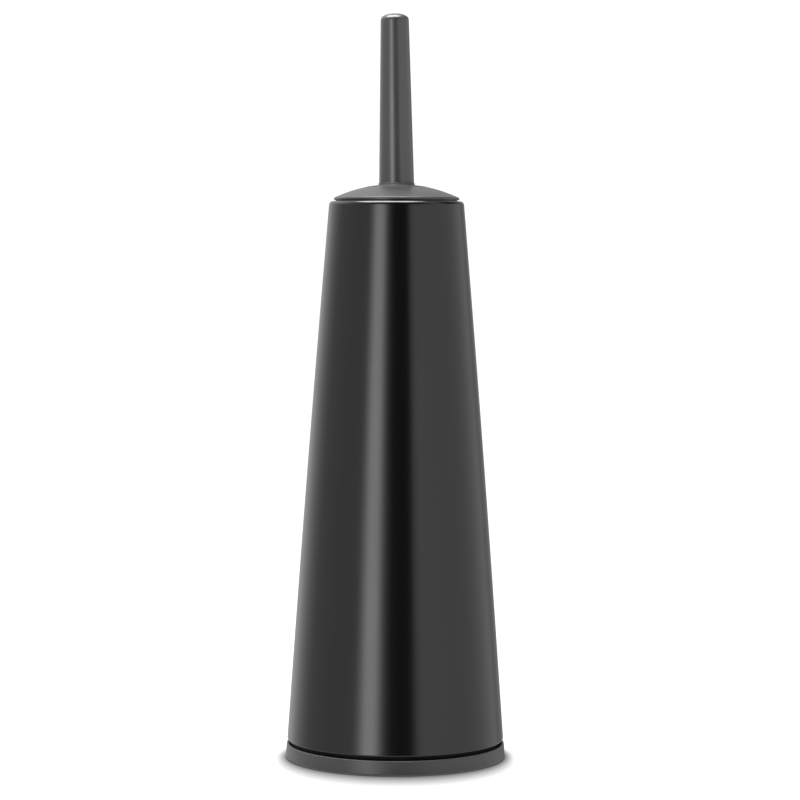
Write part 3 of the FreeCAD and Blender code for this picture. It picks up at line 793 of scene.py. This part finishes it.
def make_stud():
    """The threaded end of the rod, with a real helical ridge."""
    bottom, top, _ = span("rod_stud")
    rod_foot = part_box("brush_rod")[0].z
    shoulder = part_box("seal_washer")[1].z
    plug = ROD_RADIUS - ROD_WALL - FIT
    pitch = 3.0 * MM
    ridge = 0.75 * MM
    crest, flank = 0.15, 1 / 6    # half of the ridge's flat top and one flank, as shares of the pitch
    run_out = 1.2 * MM
    lead_in = 0.9 * MM

    def thread(point, angle):
        if not bottom + lead_in / 3 < point.z < shoulder - 0.01 * MM or point.xy.length < STUD_RADIUS * 0.9:
            return point
        phase = ((point.z - bottom) / pitch - angle / (2 * math.pi)) % 1
        rise = min(max((crest + flank - abs(phase - 0.5)) / flank, 0), 1)
        fade = min((shoulder - point.z) / run_out, (point.z - bottom) / lead_in, 1)
        sink = 1 - ridge * (1 - rise) * max(fade, 0) / STUD_RADIUS
        return Vector((point.x * sink, point.y * sink, point.z))

    steps = 60
    first_step = 5    # the steps below it lie in the rounded end
    side = []
    for number in range(first_step, steps):
        side.append((STUD_RADIUS, bottom + (shoulder - bottom) * number / steps, 0))
    stud = turned("rod_stud_look", [
        (0, bottom),
        (STUD_RADIUS, bottom, 0.8 * MM),
        *side,
        (STUD_RADIUS, shoulder),
        (ROD_RADIUS, shoulder, 0.3 * MM),
        (ROD_RADIUS, rod_foot, 0.2 * MM),
        (plug, rod_foot),
        (plug, top, 0.5 * MM),
        (0, top),
    ], MEDIUM, move=thread)
    settle(stud, "rod_stud", HEAD_PLASTIC)

    low, high, radius = span("seal_washer")
    seal = turned("seal_washer_look", [
        (STUD_RADIUS + THREAD_GAP, low),
        (radius, low, 0.45 * MM),
        (radius, high, 0.45 * MM),
        (STUD_RADIUS + THREAD_GAP, high),
    ], MEDIUM)
    settle(seal, "seal_washer", RUBBER)


# ---------------------------------------------------------------- brush head

def make_core():
    bottom, top, radius = span("head_core")
    neck_radius = 8.5 * MM
    neck = 9.0 * MM
    end_radius = 6.0 * MM
    end = 8.0 * MM
    round_edge = 1.5 * MM
    bore = STUD_RADIUS + THREAD_GAP
    bore_depth = 14.8 * MM
    core = turned("head_core_look", [
        (0, bottom),
        (end_radius, bottom, 0.8 * MM),
        (radius, bottom + end, round_edge),
        (radius, top - neck, round_edge),
        (neck_radius, top, round_edge),
        (bore, top, 0.4 * MM),
        (bore, top - bore_depth),
        (0, top - bore_depth),
    ], MEDIUM)
    settle(core, "head_core", HEAD_PLASTIC)


ROOT_DEPTH = 0.3 * MM     # how far a bristle reaches into the core
FILAMENT_RADIUS = 0.21 * MM
FILAMENT_SIDES = 4
chance = random.Random(7)


def add_filament(mesh, root, tip, sag):
    """One bristle: a thin four-sided tube from root to tip, bent a little by sag, with a blunt end."""
    direction = (tip - root).normalized()
    side = direction.orthogonal().normalized()
    other = direction.cross(side)
    rings = []
    for part, thickness in ((0, 1.0), (0.45, 1.0), (0.93, 0.95), (1.0, 0.55)):
        centre = root.lerp(tip, part) + sag * (part * part)
        ring = []
        for number in range(FILAMENT_SIDES):
            angle = 2 * math.pi * number / FILAMENT_SIDES
            offset = side * math.cos(angle) + other * math.sin(angle)
            ring.append(mesh.verts.new(centre + offset * FILAMENT_RADIUS * thickness))
        rings.append(ring)
    for low, high in zip(rings, rings[1:]):
        for number in range(FILAMENT_SIDES):
            following = (number + 1) % FILAMENT_SIDES
            mesh.faces.new((low[number], low[following], high[following], high[number])).smooth = True
    mesh.faces.new(reversed(rings[0]))
    mesh.faces.new(rings[-1])


def disc_point(radius):
    """A random place in a disc."""
    angle = chance.uniform(0, 2 * math.pi)
    reach = radius * math.sqrt(chance.random())
    return reach * math.cos(angle), reach * math.sin(angle)


def make_side_bristles():
    _, high, reach = span("side_bristles")
    core_radius = span("head_core")[2]
    row_pitch = 6.6 * MM
    row_count = 7
    row_height = 5.4 * MM
    first_row = high - row_height / 2
    tufts_per_row = 18
    filaments = 24
    hole_radius = 0.95 * MM
    spread = 2.5 * MM / hole_radius
    limit = row_height / 2 - 0.3 * MM
    mesh = bmesh.new()
    for row in range(row_count):
        height = first_row - row * row_pitch
        shift = (row % 2) / 2
        for tuft in range(tufts_per_row):
            turn = 2 * math.pi * (tuft + shift) / tufts_per_row
            around = Vector((-math.sin(turn), math.cos(turn), 0))
            outward = Vector((math.cos(turn), math.sin(turn), 0))
            lean = chance.uniform(-0.35, 0.35) * MM
            for _ in range(filaments):
                root_side, root_up = disc_point(hole_radius)
                length = reach - chance.uniform(0.15, 1.1) * MM
                root = outward * (core_radius - ROOT_DEPTH) + around * root_side
                root.z = height + root_up
                tip_side = root_side * spread + chance.gauss(0, 0.3) * MM
                tip_up = root_up * spread + lean + chance.gauss(0, 0.25) * MM
                tip_up = max(min(tip_up, limit), -limit)
                flat = math.sqrt(max(length**2 - tip_side**2, 0))
                tip = outward * flat + around * tip_side
                tip.z = height + tip_up
                sag = around * chance.gauss(0, 0.35) * MM
                add_filament(mesh, root, tip - sag, sag)
    settle(add_object("side_bristles_look", mesh), "side_bristles", NYLON)


def make_tip_bristles():
    """Tufts set round the sloping end of the core and in its flat end, fanned out to a cup."""
    low, _, reach = span("tip_bristles")
    core_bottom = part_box("head_core")[0].z
    end_height = 8.0 * MM
    end_radius = 6.0 * MM
    core_radius = span("head_core")[2]
    filaments = 24
    hole_radius = 0.9 * MM
    fan = 2.2
    limit = reach - 0.3 * MM
    lowest = low + 0.35 * MM
    rings = (
        # tufts, place along the sloping end, tip radius, tip height
        (14, 0.78, reach - 0.6 * MM, core_bottom + end_height * 0.62),
        (12, 0.34, reach - 3.5 * MM, core_bottom + end_height * 0.18),
        (8, -0.3, reach * 0.62, low + 1.6 * MM),
        (4, -0.75, reach * 0.27, low + 0.7 * MM),
    )
    mesh = bmesh.new()
    for number, (tufts, place, tip_radius, tip_height) in enumerate(rings):
        for tuft in range(tufts):
            turn = 2 * math.pi * (tuft + (number % 2) / 2) / tufts
            outward = Vector((math.cos(turn), math.sin(turn), 0))
            if place > 0:
                root_radius = end_radius + (core_radius - end_radius) * place - ROOT_DEPTH
                root_height = core_bottom + end_height * place + 0.2 * MM
            else:
                root_radius = end_radius * (1 + place)
                root_height = core_bottom + ROOT_DEPTH
            root = outward * root_radius
            root.z = root_height
            tip = outward * tip_radius
            tip.z = tip_height
            direction = (tip - root).normalized()
            side = direction.orthogonal().normalized()
            other = direction.cross(side)
            for _ in range(filaments):
                across, along = disc_point(hole_radius)
                shorten = chance.uniform(0.1, 1.0) * MM
                start = root + side * across + other * along
                end = tip + (side * across + other * along) * fan - direction * shorten
                end += side * chance.gauss(0, 0.25) * MM + other * chance.gauss(0, 0.25) * MM
                end.z = max(end.z, lowest)
                if end.xy.length > limit:
                    end.xy = end.xy * (limit / end.xy.length)
                sag = side * chance.gauss(0, 0.3) * MM
                add_filament(mesh, start, end - sag, sag)
    settle(add_object("tip_bristles_look", mesh), "tip_bristles", NYLON)


# ---------------------------------------------------------------- studio

def floor_paper():
    """White paper that glows as white as the backdrop. Close round the base its emission fades: a painted
    shadow, wider in front of the base.
    """
    paper = Surface("studio_paper", gray(0.1), 0.9, Specular_IOR_Level=0.0)
    fibre = paper.noise(40, 4)
    paper.vary_color(fibre, gray(0.095), gray(0.105))
    base_radius = 63.0 * MM
    side_shadow_reach = 6.5 * MM     # width of the painted shadow beside the base
    front_shadow_reach = 30 * MM     # how much wider the painted shadow is in front
    # emission at the base's edge, inside the painted shadow, and far out on the floor
    shadow_edge_glow, full_glow = 0.06, 1.05
    tree = paper.tree
    length = paper.node("ShaderNodeVectorMath", Vector=paper.place)
    length.operation = "LENGTH"
    radius = length.outputs["Value"]
    depth = paper.node("ShaderNodeSeparateXYZ", Vector=paper.place).outputs["Y"]
    forward = add_math(tree, "DIVIDE", add_math(tree, "MULTIPLY", depth, -1.0), radius)
    front = add_math(tree, "MAXIMUM", forward, 0.0)
    squared = add_math(tree, "MULTIPLY", front, front)
    reach = add_math(tree, "MULTIPLY_ADD", squared, front_shadow_reach, side_shadow_reach)
    beyond = add_math(tree, "DIVIDE", add_math(tree, "SUBTRACT", radius, base_radius), reach)
    # Painted shadow: emission is lowest at the base's edge and rises to full across the band.
    painted_shadow_glow = paper.node("ShaderNodeMapRange", Value=beyond, To_Min=shadow_edge_glow, To_Max=full_glow)
    paper.shader.inputs["Emission Color"].default_value = (1, 1, 1, 1)
    tree.links.new(painted_shadow_glow.outputs["Result"], paper.shader.inputs["Emission Strength"])
    return paper.material


def make_floor():
    """A wide white floor, with its edge far outside every view."""
    half = 4.0
    mesh = bmesh.new()
    bmesh.ops.create_grid(mesh, x_segments=8, y_segments=8, size=half)
    floor = add_object("studio_floor", mesh)
    floor.data.materials.append(floor_paper())
    floor.visible_glossy = False


def make_softbox():
    """A soft light overhead, a little behind the holder and to its left."""
    target = Vector((0, 0, cad_bounds[1].z * 0.75))
    away = Vector((-0.14, 0.02, 1)).normalized()
    width, depth = 0.74, 1.0
    distance = 1.0
    radiance = 13.0
    data = bpy.data.lights.new("softbox", "AREA")
    data.shape = "RECTANGLE"
    data.size = width
    data.size_y = depth
    data.energy = radiance * math.pi * width * depth
    lamp = bpy.data.objects.new("softbox", data)
    lamp.location = target + away * distance
    lamp.rotation_mode = "QUATERNION"
    lamp.rotation_quaternion = away.to_track_quat("Z", "Y")
    lamp.visible_camera = False
    bpy.context.scene.collection.objects.link(lamp)


# Brightness round the horizon: azimuth in degrees, 0 at the camera and positive to its right.
WALL_SCALE = 5.0
WALL_BRIGHTNESS = (
    (-180, 0.10),
    (-160, 0.15),
    (-145, 0.2),
    (-128, 0.185),
    (-106, 0.13),
    (-90, 0.14),
    (-44, 0.158),
    (-36.9, 0.5),
    (-33.3, 0.9),
    (-22, 0.9),
    (-18.5, 0.5),
    (-14, 0.13),
    (-6, 0.012),
    (18, 0.008),
    (24, 0.215),
    (30, 0.258),
    (45, 0.243),
    (90, 0.195),
    (118, 0.19),
    (132, 0.165),
    (144, 0.075),
    (165, 0.075),
    (180, 0.10),
)
HIGH_WALL_BRIGHTNESS = 0.78
FLOOR_BRIGHTNESS = 0.9
WHITE_BACKDROP = 1.1
OVERHEAD_GLOOM = 0.93    # how much darker it is above the camera


def make_world():
    """A white studio seen as light from every direction: a bright strip to the left of the camera, a
    dark gap beside it, dark above the camera, and paler walls behind. The camera sees plain white."""
    world = bpy.data.worlds.new("studio")
    world.use_nodes = True
    tree = world.node_tree

    def product(first, second):
        return add_math(tree, "MULTIPLY", first, second)

    def rising(value, start, end):
        """A smooth step from 0 to 1 between two values."""
        made = add_node(tree, "ShaderNodeMapRange", Value=value, From_Min=start, From_Max=end)
        made.interpolation_type = "SMOOTHSTEP"
        return made.outputs["Result"]

    def falling(value, start, end):
        return add_math(tree, "SUBTRACT", 1.0, rising(value, start, end))

    def mixed(factor, first, second):
        return add_node(tree, "ShaderNodeMix", Factor=factor, A=first, B=second).outputs["Result"]

    direction = add_node(tree, "ShaderNodeTexCoord").outputs["Generated"]
    side, back, height = add_node(tree, "ShaderNodeSeparateXYZ", Vector=direction).outputs
    front = product(back, -1.0)
    azimuth = add_math(tree, "ARCTAN2", side, front)
    turn = add_node(tree, "ShaderNodeMapRange", Value=azimuth, From_Min=-math.pi, From_Max=math.pi)
    horizon = add_node(tree, "ShaderNodeValToRGB", Fac=turn.outputs["Result"])
    stops = horizon.color_ramp.elements
    while len(stops) < len(WALL_BRIGHTNESS):
        stops.new(1.0)
    for stop, (degrees, brightness) in zip(stops, WALL_BRIGHTNESS):
        stop.position = (degrees + 180) / 360
        stop.color = (brightness, brightness, brightness, 1)
    above = product(rising(height, 0.2, 0.32), falling(height, 0.8, 0.95))
    over_camera = product(above, rising(front, 0.25, 0.6))
    gloom = add_math(tree, "SUBTRACT", 1.0, product(over_camera, OVERHEAD_GLOOM))
    low_walls = product(horizon.outputs["Color"], WALL_SCALE)
    high_walls = add_math(tree, "SUBTRACT", HIGH_WALL_BRIGHTNESS, side)
    behind = product(rising(height, 0.2, 0.42), falling(front, -0.3, 0.1))
    walls = mixed(behind, low_walls, high_walls)
    light = mixed(falling(height, -0.36, -0.2), product(walls, gloom), FLOOR_BRIGHTNESS)
    seen = add_node(tree, "ShaderNodeLightPath").outputs["Is Camera Ray"]
    strength = mixed(seen, light, WHITE_BACKDROP)
    tree.links.new(strength, tree.nodes["Background"].inputs["Strength"])
    tree.nodes["Background"].inputs["Color"].default_value = (1, 1, 1, 1)
    bpy.context.scene.world = world


def make_camera():
    data = bpy.data.cameras.new("camera")
    data.lens = 125.93
    data.sensor_width = 36.0
    data.clip_start = 0.05
    data.clip_end = 30
    camera = bpy.data.objects.new("camera", data)
    camera.location = (0.0020, -1.6, 0.2977)
    camera.rotation_euler = (math.radians(86.71), math.radians(-0.14), 0)
    bpy.context.scene.collection.objects.link(camera)
    bpy.context.scene.camera = camera
    bpy.context.scene.view_settings.view_transform = "Standard"


make_camera()
make_world()
make_floor()
make_softbox()
make_base()
make_sleeve()
make_bucket()
make_lid()
make_grip()
make_washer()
make_nut()
make_rod()
make_stud()
make_core()
make_side_bristles()
make_tip_bristles()

bpy.context.view_layer.update()
